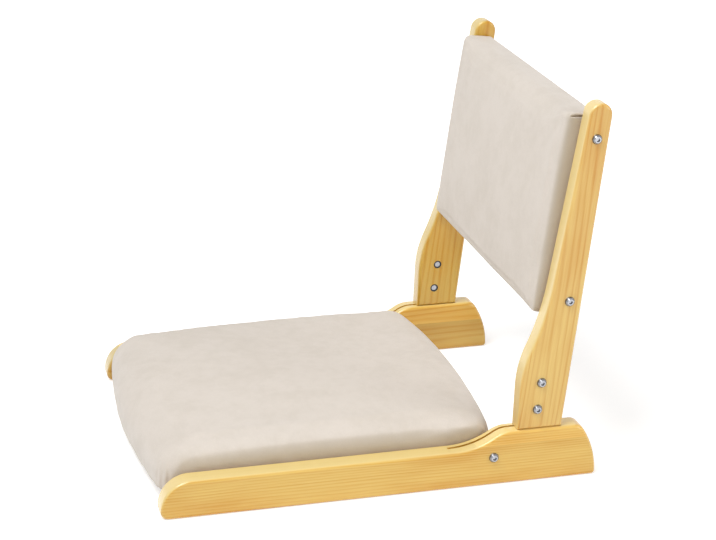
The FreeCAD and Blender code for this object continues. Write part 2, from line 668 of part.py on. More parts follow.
def stretcher(y):
    half_width = STRETCHER_WIDTH / 2
    bar = box((-RAIL_INNER_X, y - half_width, STRETCHER_TOP - STRETCHER_THICKNESS),
              (RAIL_INNER_X, y + half_width, STRETCHER_TOP))
    return bar.fuse([tenon(y), mirrored(tenon(y))]).removeSplitter().cut(seat_screws() + screw_head_wells())


# back
def back_board_blank():
    half_thick = BACK_BOARD_THICKNESS / 2
    low = -PAD_BELOW_LOWER_BOLT + BACK_BOARD_MARGIN
    high = PAD_BOLT_PITCH + PAD_ABOVE_UPPER_BOLT - BACK_BOARD_MARGIN
    return tilted_box((low, -half_thick), (high, half_thick), BACK_BOARD_HALF)


def back_board():
    return back_board_blank().cut(pad_screw_holes())


def back_foam():
    front = BACK_BOARD_THICKNESS / 2
    low = -PAD_BELOW_LOWER_BOLT + BACK_FOAM_MARGIN
    high = PAD_BOLT_PITCH + PAD_ABOVE_UPPER_BOLT - BACK_FOAM_MARGIN
    return tilted_box((low, -front - BACK_FOAM_THICKNESS), (high, -front), BACK_PAD_HALF - BACK_FOAM_MARGIN)


def rear_window():
    rear = BACK_BOARD_THICKNESS / 2
    low = -PAD_BELOW_LOWER_BOLT + COVER_TURN_IN
    high = PAD_BOLT_PITCH + PAD_ABOVE_UPPER_BOLT - COVER_TURN_IN
    return tilted_box((low, rear), (high, rear + COVER_THICKNESS + 1), BACK_PAD_HALF - COVER_TURN_IN)


def back_cover():
    # cover with its wadding, open behind where the board shows
    return back_form().cut([back_board_blank(), back_foam(), rear_window()] + pad_screw_holes())


def rear_panel():
    rear = BACK_BOARD_THICKNESS / 2 + COVER_THICKNESS
    low = -PAD_BELOW_LOWER_BOLT + REAR_PANEL_MARGIN
    high = PAD_BOLT_PITCH + PAD_ABOVE_UPPER_BOLT - REAR_PANEL_MARGIN
    half = BACK_PAD_HALF - REAR_PANEL_MARGIN
    return tilted_box((low, rear), (high, rear + REAR_PANEL_THICKNESS), half)


def both_sides(pieces):
    return [on_side(piece, side) for side in SIDES for piece in pieces]


def chair_nodes():
    return {
        "left_rail": [rail()],
        "right_rail": [mirrored(rail())],
        "front_stretcher": [stretcher(STRETCHER_YS[0])],
        "rear_stretcher": [stretcher(STRETCHER_YS[1])],
        "seat_board": [seat_board()],
        "seat_screws": seat_screws(),
        "seat_foam": [seat_foam()],
        "seat_cover": [seat_cover()],
        "seat_dust_cover": [dust_cover()],
        "pivot_bolts": both_sides([pivot_bolt()]),
        "pivot_sleeve_nuts": both_sides([pivot_sleeve_nut()]),
        "left_post": [post()],
        "right_post": [mirrored(post())],
        "left_hinge_plate": [hinge_plate()],
        "right_hinge_plate": [mirrored(hinge_plate())],
        "post_bolts": both_sides(post_bolts()),
        "post_insert_nuts": both_sides(post_inserts()),
        "back_board": [back_board()],
        "back_foam": [back_foam()],
        "back_cover": [back_cover()],
        "back_rear_panel": [rear_panel()],
        "pad_screws": both_sides(pad_screws()),
    }


def main():
    os.makedirs("parts", exist_ok=True)
    nodes = chair_nodes()
    rear_y = max(piece.optimalBoundingBox().YMax for piece in nodes["left_post"])
    move = FreeCAD.Vector(0, -(SEAT_PAD_FRONT_Y + rear_y) / 2, 0)
    for name, pieces in nodes.items():
        moved = [piece.translated(move) for piece in pieces]
        shape = moved[0] if len(moved) == 1 else Part.makeCompound(moved)
        shape.exportStep("parts/" + name + ".step")
    print("moved along Y by", round(move.y, 4), "pivot at", round(PIVOT[0] + move.y, 4), PIVOT[1])


main()
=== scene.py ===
import math

import bmesh
import bpy
from bpy.props import FloatProperty, FloatVectorProperty, PointerProperty
from mathutils import Euler, Matrix, Vector, noise


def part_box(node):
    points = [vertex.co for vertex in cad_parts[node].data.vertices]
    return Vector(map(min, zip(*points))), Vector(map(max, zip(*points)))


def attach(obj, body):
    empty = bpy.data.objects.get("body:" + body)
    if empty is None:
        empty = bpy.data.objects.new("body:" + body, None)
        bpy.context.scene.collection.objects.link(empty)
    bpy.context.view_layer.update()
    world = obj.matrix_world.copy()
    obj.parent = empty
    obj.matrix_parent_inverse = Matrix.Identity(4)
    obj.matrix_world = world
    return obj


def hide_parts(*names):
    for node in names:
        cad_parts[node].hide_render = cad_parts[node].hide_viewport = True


# Looks of a folding floor chair: cushions, cover, finishes and studio around its CAD frame.
bl_info = {
    "name": "Folding floor chair",
    "version": (1, 0, 0),
    "blender": (4, 5, 0),
    "location": "View3D > Sidebar > Floor chair",
    "description": "Upholsters and finishes a wooden floor chair with a folding back",
    "category": "Object",
}

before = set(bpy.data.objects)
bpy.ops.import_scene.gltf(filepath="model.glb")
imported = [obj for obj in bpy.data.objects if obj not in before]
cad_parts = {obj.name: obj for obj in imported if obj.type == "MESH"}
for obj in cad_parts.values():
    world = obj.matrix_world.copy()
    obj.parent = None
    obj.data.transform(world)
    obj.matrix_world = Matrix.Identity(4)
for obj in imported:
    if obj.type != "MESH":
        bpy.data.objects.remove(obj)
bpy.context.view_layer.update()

# part.py's rails end at this y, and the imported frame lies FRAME_SHIFT behind part.py's
RAIL_REAR_Y = 0.230
FRAME_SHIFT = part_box("left_rail")[1].y - RAIL_REAR_Y
STRETCHER_FRONT_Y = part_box("front_stretcher")[0].y
POST_LEAN = math.radians(8.2)
# the back board's axis, from the lower pad screws upwards
BOARD_LEAN = math.radians(7.7)
BOARD_ORIGIN = Vector((0, 0.195569 + FRAME_SHIFT, 0.1955))
# painted light: faces that turn up and forward, where the main lamp falls, are mixed towards a
# paler colour
PAINTED_LIGHT_SIDE = Vector((0, -0.62, 0.78))
# the upper strip of an edge-glued board comes from another place in the log
STRIP_HOP = (0.023, 0.71, 0.047)
# two layers of the plywood
PLY_PAIR = 0.0034
# edges of the wood that turn by less than this are shaded round
EASED_ANGLE = math.radians(38)
# the cover fills as cloth; no point of it moves further inward than INWARD_LIMIT
CLOTH = {"quality": 6, "mass": 0.25, "tension_stiffness": 12, "compression_stiffness": 12,
         "shear_stiffness": 5, "bending_stiffness": 1.5, "use_pressure": True,
         "uniform_pressure_force": 4, "vertex_group_mass": "held"}
FILLING_FRAMES = 20
ROW_SEED = 7
INWARD_LIMIT = 0.0002
# where the photo was taken from
CAMERA_AZIMUTH, CAMERA_HEIGHT = math.radians(75.696), math.radians(19.345)
CAMERA_PLACE = (2.13966, -0.52085 + FRAME_SHIFT, 0.95093)


def quantity(text, default, **limits):
    return FloatProperty(description=text, default=default, min=0.0, **limits)


def length(text, default):
    return quantity(text, default, unit="LENGTH", precision=4)


def colour(text, *screen):
    """A colour given as it reads on screen, 0 to 255, and kept as Blender's linear one."""
    linear = [c / 255 / 12.92 if c <= 10.3 else ((c / 255 + 0.055) / 1.055) ** 2.4
              for c in screen]
    return FloatVectorProperty(description=text, default=linear, min=0.0, max=1.0, size=3,
                               subtype="COLOR")


class CushionSizes(bpy.types.PropertyGroup):
    seat_half_width: length("Half the seat pad's width", 0.1765)
    seat_set_in: length("Seat's front behind the CAD cover's front", 0.0068)
    seat_bottom: length("Height of the seat pad's underside", 0.018)
    seat_top: length("Height of the seat's middle", 0.0704)
    seat_arch: length("How far the seat falls towards the rails", 0.0044)
    seat_crown: length("How far the seat falls towards front and rear", 0.0065)
    rear_crown: quantity("Share of the crown kept behind the middle", 0.5, max=1.0,
                         subtype="FACTOR")
    seat_shoulder: length("Rounding along the rails", 0.023)
    nose_upper: length("Rounding of the seat's front from above", 0.034)
    nose_lower: length("Rounding of the seat's front from below", 0.0045)
    nose_droop: length("How far the seat's nose hangs below its underside", 0.0045)
    nose_bow: length("How far the seat's front bows out in plan", 0.014)
    nose_corner: length("Rounding of the front corners in plan", 0.0285)
    rear_upper: length("Rounding of the seat's rear from above", 0.023)
    rear_lower: length("Rounding of the seat's rear from below", 0.008)
    rear_bow: length("How far the seat's rear bows out in plan", 0.011)
    rear_corner: length("Rounding of the rear corners in plan", 0.015)
    back_half_width: length("Half the back pad's width", 0.1783)
    back_low: length("Back pad below its lower bolts", 0.022)
    back_high: length("Back pad above its lower bolts", 0.19054)
    back_front_low: length("Front face ahead of the board, low down", 0.0300)
    back_front_high: length("Front face ahead of the board, at the top", 0.0275)
    back_crown: length("How far the back's middle stands proud", 0.005)
    back_end: length("Rounding at the back pad's top", 0.016)
    back_foot: length("Rounding at the back pad's foot", 0.005)
    back_corner: length("Rounding at its folded corners", 0.003)
    back_side: length("Rounding at the back pad's sides", 0.0105)
    back_corner_draw: length("How far its corners are pulled in", 0.001)
    fold_below_top: length("Folded corner's slit below the back pad's top", 0.0034)
    fold_depth: length("How deep the folded corner's slit is", 0.0045)
    back_rear: length("Rear face behind the board's middle", 0.0087)
    swell: length("How far the cover may bulge as it fills", 0.0015)
    voxel: length("Spacing of the seat cloth's points", 0.004)
    back_voxel: length("Spacing of the back cloth's points", 0.0034)


class FinishColours(bpy.types.PropertyGroup):
    pine_pale: colour("Pale part of a growth ring", 248, 212, 129)
    pine_dark: colour("Dark part of a growth ring", 220, 157, 69)
    # the next colour is painted light, put on the boards' faces that turn up and forward
    pine_edge: colour("Pale edges of the boards", 252, 228, 160)
    cover: colour("Coated cover fabric", 229, 219, 208)
    cover_shade: colour("Darker patches of the cover", 223, 213, 201)
    steel: colour("Bright plated screws", 176, 178, 184)
    dust_cloth: colour("Cloth under the seat", 66, 64, 63)


class StudioSettings(bpy.types.PropertyGroup):
    ambient: quantity("Light from the whole studio", 0.42)
    key_power: quantity("Power of the main lamp", 61.0, unit="POWER")
    fill_power: quantity("Power of the lamp behind the chair's side", 18.0, unit="POWER")
    floor_glow: quantity("White that the camera sees in the floor near the chair", 0.46,
                         max=1.0, subtype="FACTOR")
    lens: FloatProperty(description="Focal length", default=108.26, min=1.0, unit="CAMERA")


def adjusted(thing, **settings):
    for name, value in settings.items():
        setattr(thing, name, value)
    return thing


def sizes():
    return bpy.context.scene.floor_chair_sizes


def colours():
    return bpy.context.scene.floor_chair_colours


def studio():
    return bpy.context.scene.floor_chair_studio


# ---- shader building ----

class Nodes:
    """Adds shader nodes to a tree and joins them; result holds the sockets it leads to."""

    def __init__(self, tree, result):
        self.tree, self.result = tree, result

    def add(self, kind, inputs=(), **settings):
        """Adds a node, by its full kind or by the part after ShaderNode."""
        full = kind if "Node" in kind else "ShaderNode" + kind
        node = adjusted(self.tree.nodes.new(full), **settings)
        for name, value in dict(inputs).items():
            self.feed(node.inputs[name], value)
        return node

    def feed(self, socket, value):
        if isinstance(value, bpy.types.NodeSocket):
            self.tree.links.new(value, socket)
        else:
            socket.default_value = value

    def give(self, label, value):
        self.feed(self.result[label], value)

    def group(self, name, inputs):
        return self.add("Group", inputs, node_tree=bpy.data.node_groups[name]).outputs

    def maths(self, operation, a, b=None, clamp=False):
        inputs = {0: a} if b is None else {0: a, 1: b}
        return self.add("Math", inputs, operation=operation, use_clamp=clamp).outputs[0]

    def weighed(self, a, share, b, other_share, clamp=False):
        return self.maths("ADD", self.maths("MULTIPLY", a, share),
                          self.maths("MULTIPLY", b, other_share), clamp)

    def vectors(self, operation, a, b=None, scale=None):
        """Vector maths; a length or a dot product gives its value."""
        node = self.add("VectorMath", {0: a}, operation=operation)
        if b is not None:
            self.feed(node.inputs[1], b)
        if scale is not None:
            self.feed(node.inputs["Scale"], scale)
        return node.outputs["Value" if operation in ("LENGTH", "DOT_PRODUCT") else "Vector"]

    def axis(self, vector, letter):
        return self.add("SeparateXYZ", {"Vector": vector}).outputs[letter]

    def stretched(self, vector, scale, rotation=(0, 0, 0)):
        return self.add("Mapping", {"Vector": vector, "Scale": scale,
                                    "Rotation": rotation}).outputs[0]

    def clouds(self, vector, scale, detail=2.0, roughness=0.5):
        return self.add("TexNoise", {"Vector": vector, "Scale": scale, "Detail": detail,
                                     "Roughness": roughness}).outputs["Fac"]

    def between(self, value, low, high, to_low=0.0, to_high=1.0):
        """Takes the value, eased, from the range low, high to the range to_low, to_high."""
        return self.add("MapRange", {"Value": value, "From Min": low, "From Max": high,
                                     "To Min": to_low, "To Max": to_high},
                        interpolation_type="SMOOTHSTEP").outputs[0]

    def mixed(self, factor, a, b):
        return self.add("Mix", {"Factor": factor, 6: a, 7: b}, data_type="RGBA").outputs[2]

    def ramp(self, value, stops):
        node = self.add("ValToRGB", {"Fac": value})
        elements = node.color_ramp.elements
        while len(elements) < len(stops):
            elements.new(0.5)
        for element, (place, level) in zip(elements, stops):
            adjusted(element, position=place, color=(level, level, level, 1))
        return node.outputs[0]


def opaque(rgb, share=1.0):
    return (*(v * share for v in rgb[:3]), 1.0)


def new_group(name, inputs, outputs):
    """A shader group's node helper and the sockets of its inputs, of which Vector is one."""
    tree = bpy.data.node_groups.new(name, "ShaderNodeTree")
    for label, default in {"Vector": (0, 0, 0), **inputs}.items():
        kind = "NodeSocketVector" if isinstance(default, tuple) else "NodeSocketFloat"
        tree.interface.new_socket(label, in_out="INPUT", socket_type=kind).default_value = default
    for label in outputs:
        tree.interface.new_socket(label, in_out="OUTPUT", socket_type="NodeSocketFloat")
    n = Nodes(tree, tree.nodes.new("NodeGroupOutput").inputs)
    return n, n.add("NodeGroupInput").outputs


def wood_figure_group():
    """Growth rings of a board whose grain runs along Y, with fibres and slow tone changes."""
    n, given = new_group(
        "Wood figure", {"Pith": (0.05, 0, -0.06), "Ring width": 0.003, "Waviness": 0.006},
        ["Late wood", "Fibres", "Tone"])
    place = given["Vector"]
    drift = n.add("TexNoise", {"Vector": n.stretched(place, (1.0, 0.10, 1.0)), "Scale": 16.0,
                               "Detail": 2.0, "Roughness": 0.45})
    centred = n.vectors("SUBTRACT", drift.outputs["Color"], (0.5, 0.5, 0.5))
    bent = n.vectors("SCALE", centred, scale=n.maths("MULTIPLY", given["Waviness"], 2.0))
    from_pith = n.vectors("ADD", n.vectors("SUBTRACT", place, given["Pith"]), bent)
    radius = n.vectors("LENGTH", n.vectors("MULTIPLY", from_pith, (1, 0, 1)))
    phase = n.maths("DIVIDE", radius, given["Ring width"])
    year = n.add("TexWhiteNoise", {"W": n.maths("FLOOR", phase)}, noise_dimensions="1D")
    strength = n.maths("ADD", n.maths("MULTIPLY", year.outputs["Value"], 0.6), 0.4)
    late = n.ramp(n.maths("FRACT", phase),
                  [(0.0, 0.25), (0.12, 0.0), (0.55, 0.12), (0.86, 1.0), (1.0, 0.25)])
    n.give("Late wood", n.maths("MULTIPLY", late, strength))
    n.give("Fibres", n.clouds(n.stretched(place, (900.0, 22.0, 900.0)), 1.0, 3.0, 0.6))
    n.give("Tone", n.clouds(n.stretched(place, (1.0, 0.25, 1.0)), 26.0))


def handling_group():
    """Faint rubs and specks that break up a gloss."""
    n, given = new_group("Handling marks", {"Scale": 60.0}, ["Rubs", "Specks"])
    n.give("Rubs", n.clouds(given["Vector"], given["Scale"], 4.0, 0.6))
    specks = n.add("TexVoronoi", {"Vector": given["Vector"],
                                  "Scale": n.maths("MULTIPLY", given["Scale"], 6.0)})
    n.give("Specks", n.between(specks.outputs["Distance"], 0.0, 0.3, 1.0, 0.0))


def leather_group():
    """Cells and fine pebbling of a coated cover, and its cloudy tone."""
    n, given = new_group("Cover grain", {"Cell size": 0.0011}, ["Height", "Clouding", "Nap"])
    place = given["Vector"]
    bend = n.add("TexNoise", {"Vector": place, "Scale": 140.0, "Detail": 2.0})
    shifted = n.vectors("ADD", place, n.vectors("SCALE", bend.outputs["Color"], scale=0.0016))
    scale = n.maths("DIVIDE", 1.0, given["Cell size"])
    cells = n.add("TexVoronoi", {"Vector": shifted, "Scale": scale}, feature="DISTANCE_TO_EDGE")
    edge = n.between(cells.outputs["Distance"], 0.0, 0.16)
    fine = n.clouds(place, n.maths("MULTIPLY", scale, 2.6), 2.0, 0.6)
    broad, small = n.clouds(place, 22.0, 3.0, 0.55), n.clouds(place, 85.0, 4.0, 0.65)
    n.give("Height", n.weighed(edge, 0.7, fine, 0.5))
    n.give("Clouding", n.weighed(broad, 0.55, small, 0.45))
    n.give("Nap", n.clouds(place, 1400.0, 2.0, 0.7))


class Finish(Nodes):
    """A material's nodes, with its Principled shader and its texture coordinates."""

    def __init__(self, name, **constants):
        self.material = bpy.data.materials.new(name)
        self.material.use_nodes = True
        tree = self.material.node_tree
        self.shader = tree.nodes["Principled BSDF"]
        super().__init__(tree, self.shader.inputs)
        for label, value in constants.items():
            self.give(label.replace("_", " "), value)
        where = self.add("TexCoord").outputs
        self.place, self.normal = where["Object"], where["Normal"]

    def bump(self, height, depth, strength):
        node = self.add("Bump", {"Height": height, "Distance": depth, "Strength": strength})
        self.give("Normal", node.outputs[0])

    def rubbed(self, scale, low, high, rubs=(0.3, 0.7)):
        """Roughness from low to high over the handling marks, whose sockets it returns."""
        marks = self.group("Handling marks", {"Vector": self.place, "Scale": scale})
        self.give("Roughness", self.between(marks["Rubs"], *rubs, low, high))
        return marks

    def sideways(self):
        """1 where the surface faces along X, 0 where it faces up, forward or back."""
        return self.maths("ABSOLUTE", self.axis(self.normal, "X"))


def pine_material(name, grain, pith, ring_width, waviness, joint_z=None, shade=1.0,
                  upper_shade=1.0, depth=1.0):
    """Clear-coated pine. grain is the board's direction and joint_z the height of its glue
    line; shade is its tone, upper_shade that of the strip above the line, depth its saturation.
    On the far boards shade, upper_shade and depth also hold painted shade: darker, fuller colour."""
    c = colours()
    n = Finish(name, Coat_Weight=0.85, Coat_Roughness=0.16, Coat_IOR=1.5,
               Specular_IOR_Level=0.35)
    turn = math.atan2(grain.y, grain.z) - math.pi / 2
    board, tone = n.stretched(n.place, (1, 1, 1), rotation=(turn, 0, 0)), shade
    if joint_z is not None:
        upper = n.maths("GREATER_THAN", n.axis(n.place, "Z"), joint_z)
        board = n.vectors("ADD", board, n.vectors("SCALE", STRIP_HOP, scale=upper))
        tone = n.maths("ADD", n.maths("MULTIPLY", upper, upper_shade - shade), shade)
    figure = n.group("Wood figure", {"Vector": board, "Pith": pith, "Ring width": ring_width,
                                     "Waviness": waviness})
    late = n.maths("MULTIPLY", figure["Late wood"], 0.58)
    slow = n.between(figure["Tone"], 0.35, 0.65, 0.0, 0.36)
    streak = n.between(figure["Fibres"], 0.35, 0.75, 0.0, 0.24)
    amount = n.maths("ADD", n.maths("ADD", late, slow), streak, clamp=True)
    base = n.mixed(amount, opaque(c.pine_pale), opaque(c.pine_dark))
    lengthwise = n.maths("ABSOLUTE", n.vectors("DOT_PRODUCT", n.normal, grain))
    base = n.mixed(n.between(lengthwise, 0.75, 1.0, 0.0, 0.35), base, opaque(c.pine_dark))
    # painted light: faces turned up and forward are mixed towards the pale colour
    lit_facing = n.vectors("DOT_PRODUCT", n.normal, PAINTED_LIGHT_SIDE)
    base = n.mixed(n.between(lit_facing, 0.45, 0.80, 0.0, 0.88), base, opaque(c.pine_edge))
    # on the far boards, tone and depth carry painted shade as well as the wood's own tone
    toned = n.add("HueSaturation", {"Color": base, "Value": tone, "Saturation": depth})
    n.give("Base Color", toned.outputs[0])
    n.rubbed(45.0, 0.36, 0.50)
    n.bump(n.weighed(figure["Fibres"], 0.6, late, -0.5), 0.00012, 0.6)
    return n.material


def plywood_material():
    """Bare plywood, its layers showing on the edges."""
    c = colours()
    n = Finish("Plywood", Specular_IOR_Level=0.3)
    layer = n.maths("FRACT", n.maths("MULTIPLY", n.axis(n.place, "Z"), 1 / PLY_PAIR))
    core = n.maths("GREATER_THAN", layer, 0.5)
    figure = n.group("Wood figure", {"Vector": n.place, "Pith": (0.02, 0, -0.4),
                                     "Ring width": 0.006, "Waviness": 0.02})
    amount = n.weighed(figure["Late wood"], 0.35, core, 0.25, clamp=True)
    n.give("Base Color", n.mixed(amount, opaque(c.pine_pale), opaque(c.pine_dark)))
    n.rubbed(30.0, 0.62, 0.78)
    n.bump(figure["Fibres"], 0.0002, 0.7)
    return n.material


def cover_material():
    """Coated suede-like cover with clouding, pebbled cells and a short nap, and painted shade
    where it turns down beside the wood.
    """
    c = colours()
    n = Finish("Cover fabric", Sheen_Weight=0.22, Sheen_Roughness=0.55,
               Specular_IOR_Level=0.32)
    grain = n.group("Cover grain", {"Vector": n.place, "Cell size": 0.0011})
    amount = n.between(grain["Clouding"], 0.38, 0.66)
    base = n.mixed(amount, opaque(c.cover), opaque(c.cover_shade))
    pit = n.between(grain["Height"], 0.2, 0.75, 0.10, 0.0)
    base = n.mixed(pit, base, opaque(c.cover_shade, 0.6))
    # painted shade: the cover is painted darker and warmer where it turns sideways down beside the
    # wood, where shade falls
    painted_side_shade = [v * share for v, share in zip(c.cover_shade, (0.70, 0.665, 0.59))]
    starts = n.between(n.axis(n.place, "Z"), 0.10, 0.16, 0.72, 0.52)
    turned = n.between(n.sideways(), starts, 0.985, 0.0, 0.75)
    base = n.mixed(turned, base, opaque(painted_side_shade))
    nap = n.between(grain["Nap"], 0.3, 0.7, 0.96, 1.03)
    shade = n.add("HueSaturation", {"Color": base, "Value": nap})
    n.give("Base Color", shade.outputs[0])
    n.give("Roughness", n.between(grain["Clouding"], 0.3, 0.7, 0.52, 0.66))
    n.bump(grain["Height"], 0.00018, 0.7)


def steel_material(name, tone, low, high, scale, painted_rim_shade):
    """Plated steel. tone is its share of the steel colour, low and high the ends of its
    roughness, scale that of its marks, and the last argument painted shade: the share of the
    colour kept where a surface turns away from X, such as a head's sides, for dark reflections."""
    tint = [v * tone for v in colours().steel]
    n = Finish(name, Metallic=1.0)
    marks = n.rubbed(scale, low, high, (0.25, 0.75))
    specks = n.maths("MULTIPLY", marks["Specks"], 0.25)
    base = n.mixed(specks, opaque(tint), opaque(tint, 0.7))
    # painted shade, standing in for dark reflections, where the steel turns away from X
    rim_shade_mask = n.between(n.sideways(), 0.55, 0.93, 1.0, 0.0)
    n.give("Base Color", n.mixed(rim_shade_mask, base, opaque(tint, painted_rim_shade)))
    n.bump(marks["Rubs"], 0.00004, 0.5)
    return n.material


def dust_cloth_material():
    """Spun-bonded cloth: random fibres with bonded points."""
    dark = colours().dust_cloth
    n = Finish("Dust cloth", Specular_IOR_Level=0.25, Sheen_Weight=0.15)
    fibres = n.add("TexWave", {"Vector": n.place, "Scale": 420.0, "Distortion": 16.0,
                               "Detail": 3.0, "Detail Scale": 1.4})
    cross = n.clouds(n.place, 900.0, 3.0, 0.7)
    bonds = n.add("TexVoronoi", {"Vector": n.place, "Scale": 650.0})
    spot = n.between(bonds.outputs["Distance"], 0.12, 0.28, 1.0, 0.0)
    amount = n.weighed(fibres.outputs["Fac"], 0.5, cross, 0.5)
    n.give("Base Color", n.mixed(amount, opaque(dark, 0.65), opaque(dark, 1.7)))
    n.give("Roughness", n.between(amount, 0.2, 0.8, 0.85, 0.7))
    n.bump(n.maths("SUBTRACT", amount, spot), 0.00015, 0.8)
    return n.material


def dress(material, *names):
    """Gives CAD nodes their finish, on their material slots alone."""
    for name in names:
        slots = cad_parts[name].material_slots
        if not slots:
            raise RuntimeError(name + " has no material slot")
        for slot in slots:
            slot.material = material


# ---- mesh building ----

def eased_copy(node_name, name, material, body):
    """Stands for a rigid CAD node: its own shape, with its eased edges shaded round."""
    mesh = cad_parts[node_name].data.copy()
    mesh.name = name
    form = bmesh.new()
    form.from_mesh(mesh)
    bmesh.ops.remove_doubles(form, verts=form.verts, dist=1e-6)
    for edge in form.edges:
        edge.smooth = len(edge.link_faces) == 2 and edge.calc_face_angle(0.0) < EASED_ANGLE
    form.to_mesh(mesh)
    form.free()
    piece = new_object(name, mesh)
    shaded_smooth(piece, material)
    adjusted(piece.modifiers.new("Even normals", "WEIGHTED_NORMAL"),
             mode="FACE_AREA_WITH_ANGLE", weight=60, keep_sharp=True)
    baked(piece)
    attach(piece, body)
    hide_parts(node_name)


def new_object(name, mesh):
    piece = bpy.data.objects.new(name, mesh)
    bpy.context.scene.collection.objects.link(piece)
    return piece


def evaluated(piece):
    return piece.evaluated_get(bpy.context.evaluated_depsgraph_get())


def baked(piece):
    """The piece's mesh as its modifiers leave it, with the modifiers removed."""
    mesh = bpy.data.meshes.new_from_object(evaluated(piece))
    old = piece.data
    piece.modifiers.clear()
    piece.data = mesh
    bpy.data.meshes.remove(old)


def shaded_smooth(piece, material=None):
    """Gives the piece a material, or else the cover's, and shades all its faces smooth."""
    piece.data.materials.clear()
    piece.data.materials.append(material or bpy.data.materials["Cover fabric"])
    for polygon in piece.data.polygons:
        polygon.use_smooth = True


def built(form, name):
    """The form as an object of the scene."""
    mesh = bpy.data.meshes.new(name)
    form.to_mesh(mesh)
    form.free()
    return new_object(name, mesh)


def grid(form, low, high, counts, place):
    """Points at even steps from corner low to corner high, with faces between them.
    place(x, y, edge) sets each point, edge being its distance from the nearest border."""
    rows = []
    for j in range(counts[1] + 1):
        y = low[1] + (high[1] - low[1]) * j / counts[1]
        rows.append([])
        for i in range(counts[0] + 1):
            x = low[0] + (high[0] - low[0]) * i / counts[0]
            edge = min(x - low[0], high[0] - x, y - low[1], high[1] - y)
            rows[-1].append(form.verts.new(place(x, y, edge)))
    for near, far in zip(rows, rows[1:]):
        for i in range(counts[0]):
            form.faces.new((near[i], near[i + 1], far[i + 1], far[i]))
    return rows


def closed_tube(form, rings):
    """Faces from ring to ring of points, and one over each end."""
    for near, far in zip(rings, rings[1:]):
        for i in range(len(near)):
            j = (i + 1) % len(near)
            form.faces.new((near[i], near[j], far[j], far[i]))
    form.faces.new(rings[0][::-1])
    form.faces.new(rings[-1])
    bmesh.ops.recalc_face_normals(form, faces=form.faces)


def arc_points(centre, radius, start, end, count):
    return [(centre[0] + radius * math.cos(start + (end - start) * i / count),
             centre[1] + radius * math.sin(start + (end - start) * i / count))
            for i in range(count + 1)]


def pad_section(front, rear, base, top, crown, front_radii, rear_radii, rear_crown=1.0):
    """Closed outline of a crowned pad from front to rear; radii are (upper, lower)."""
    quarter = math.pi / 2
    lower_steps, upper_steps, top_steps, base_steps = 6, 12, 24, 4
    (front_up, front_low), (rear_up, rear_low) = front_radii, rear_radii
    middle, reach = (front + rear) / 2, (rear - front) / 2
    points = arc_points((rear - rear_low, base + rear_low), rear_low, -quarter, 0, lower_steps)
    points += arc_points((rear - rear_up, top - rear_up), rear_up, 0, quarter, upper_steps)
    inner_rear, inner_front = rear - rear_up, front + front_up
    points += [(inner_rear + (inner_front - inner_rear) * i / top_steps, top)
               for i in range(1, top_steps)]
    points += arc_points((inner_front, top - front_up), front_up, quarter, 2 * quarter,
                         upper_steps)
    points += arc_points((front + front_low, base + front_low), front_low, 2 * quarter,
                         3 * quarter, lower_steps)
    points += [(front + (rear - front) * i / base_steps, base) for i in range(1, base_steps)]
    return [(y, z - crown * (rear_crown if y > middle else 1.0) * ((y - middle) / reach) ** 2
             * (z - base) / (top - base)) for y, z in points]


def drawn_in(distance, radius):
    """How far a quarter round has drawn in, at a distance from its end."""
    left = max(0.0, 1 - distance / radius)
    return radius * (1 - math.sqrt(1 - left ** 2))


def plan_setback(x, half, bow, power, corner):
    """How far a bowed end with round corners lies behind its middle."""
    turn = max(0.0, (abs(x) - half + corner) / corner)
    return bow * (abs(x) / half) ** power + corner * (1 - math.sqrt(max(0.0, 1 - turn ** 2)))


def lofted(name, sections):
    """A closed form through sections of equal point counts."""
    form = bmesh.new()
    closed_tube(form, [[form.verts.new(p) for p in section] for section in sections])
    return built(form, name)


def spaced(half, radius):
    """Places across a form, close together where its ends round off."""
    steps, inner_shares = 8, (0.85, 0.7, 0.5, 0.25)
    right = [half - radius * (1 - math.cos(math.radians(90 * i / steps)))
             for i in range(steps + 1)]
    right += [half * share for share in inner_shares if half * share < half - radius]
    return [-x for x in right] + [0.0] + right[::-1]


def filled(piece, low, high):
    """Fills the cover with air pressure as cloth, held up to low and free from high on."""
    swell = sizes().swell
    group = piece.vertex_groups.new(name="held")
    starts = [v.co.copy() for v in piece.data.vertices]
    for i, point in enumerate(starts):
        group.add([i], 1.0 - soft_step(point.z, low, high), "REPLACE")
    cloth = piece.modifiers.new("Filling", "CLOTH")
    adjusted(cloth.settings, **CLOTH).effector_weights.gravity = 0
    cloth.collision_settings.use_collision = False
    adjusted(cloth.point_cache, frame_start=1, frame_end=FILLING_FRAMES)
    scene = bpy.context.scene
    for number in range(1, FILLING_FRAMES + 1):
        scene.frame_set(number)
    ends = [v.co.copy() for v in evaluated(piece).data.vertices]
    piece.modifiers.clear()
    normals = [v.normal.copy() for v in piece.data.vertices]
    for vertex, start, end, normal in zip(piece.data.vertices, starts, ends, normals):
        move = end - start
        outward = move.dot(normal)
        slide = move - normal * outward
        slide *= min(1.0, swell / max(slide.length, 1e-9))
        vertex.co = start + slide + normal * max(-INWARD_LIMIT, min(swell, outward))
    scene.frame_set(1)
    piece.vertex_groups.clear()


def upholstered(cushion, voxel, held, rounds, offset, clamp):
    """Fills the pad's form as cloth that is held between two heights, evens it out over some
    rounds, and moves each point along its normal by offset(point), then by clamp(point)."""
    adjusted(cushion.modifiers.new("Even spacing", "REMESH"), mode="VOXEL", voxel_size=voxel,
             use_smooth_shade=True)
    baked(cushion)
    filled(cushion, *held)
    adjusted(cushion.modifiers.new("Even out", "SMOOTH"), factor=0.5, iterations=rounds)
    adjusted(cushion.modifiers.new("Finer", "SUBSURF"), levels=1, render_levels=1)
    baked(cushion)
    vertices = cushion.data.vertices
    moved = [clamp(v.co + v.normal * offset(v.co)) for v in vertices]
    for vertex, point in zip(vertices, moved):
        vertex.co = point
    cushion.data.update()


